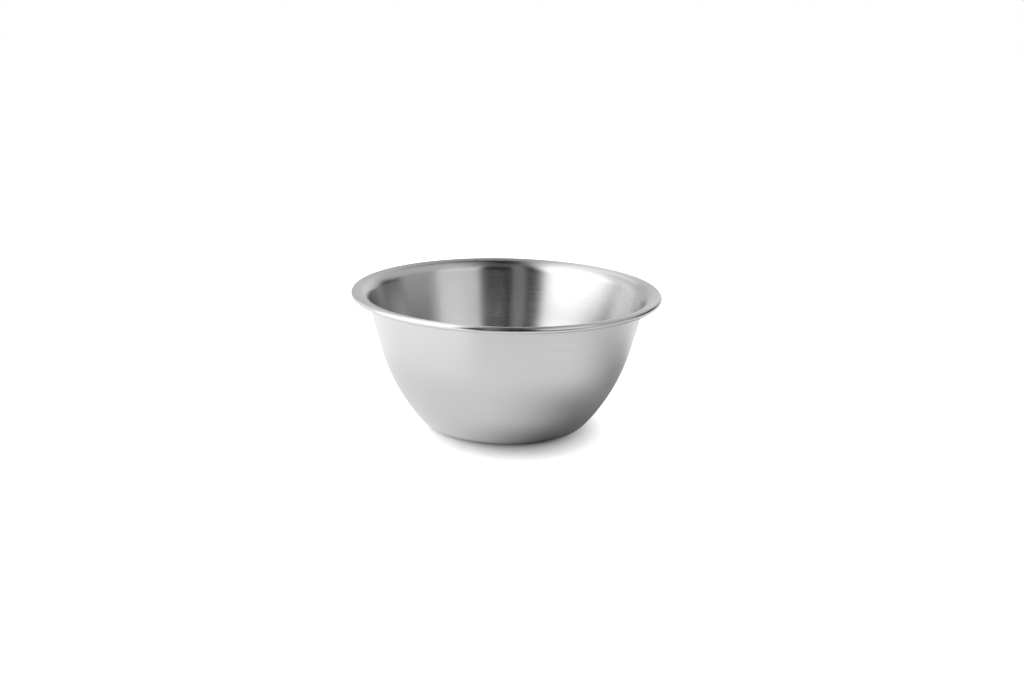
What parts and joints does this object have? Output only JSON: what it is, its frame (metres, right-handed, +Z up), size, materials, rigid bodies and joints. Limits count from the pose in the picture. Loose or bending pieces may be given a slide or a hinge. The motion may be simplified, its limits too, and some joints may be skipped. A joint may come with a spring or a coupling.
{
  "type": "prep bowl",
  "caption": "Round sheet steel bowl with a flat base, curved belly, leaning wall and a slightly raised lip curled under at its edge.",
  "frame": {"origin": "middle of the flat base, on the surface that the bowl stands on", "axes": "+Z up along the axis that the bowl is turned about; +X and +Y are alike, because the bowl is round"},
  "size_m": [0.16, 0.16, 0.0715],
  "materials": {
    "steel": "stainless steel, satin outside, turned brushing inside, polished rim"
  },
  "bodies": {
    "root": {"bowl_shell": "steel"}
  },
  "joints": []
}
